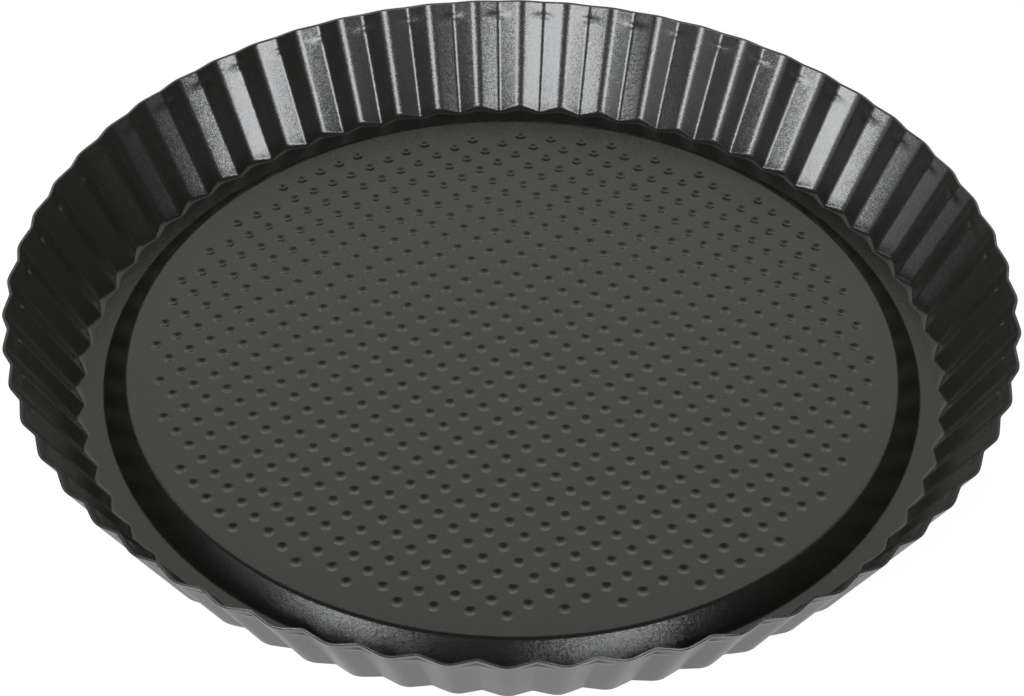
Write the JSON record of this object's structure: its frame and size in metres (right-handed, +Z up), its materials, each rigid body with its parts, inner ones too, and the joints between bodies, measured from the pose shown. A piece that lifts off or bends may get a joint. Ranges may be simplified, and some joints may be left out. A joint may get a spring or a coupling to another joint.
{
  "type": "tart pan",
  "caption": "Round fluted tart pan in coated pressed steel, with a flared wall, a ring trough and a raised dimpled centre.",
  "frame": {"origin": "on the pan's axis, at the level of the underside of the base that it rests on", "axes": "+Z up along the pan's axis, +X through the outside tip of one flute"},
  "size_m": [0.2804, 0.2804, 0.0312],
  "materials": {
    "outside_coating": "smooth satin near-black baked coating",
    "bare_steel": "bare cut edge of cold-rolled steel sheet",
    "inside_coating": "satin near-black non-stick coating with a fine pebbled skin"
  },
  "bodies": {
    "root": {"outside_coating": "outside_coating", "steel_pressing": "bare_steel", "inside_coating": "inside_coating"}
  },
  "joints": []
}
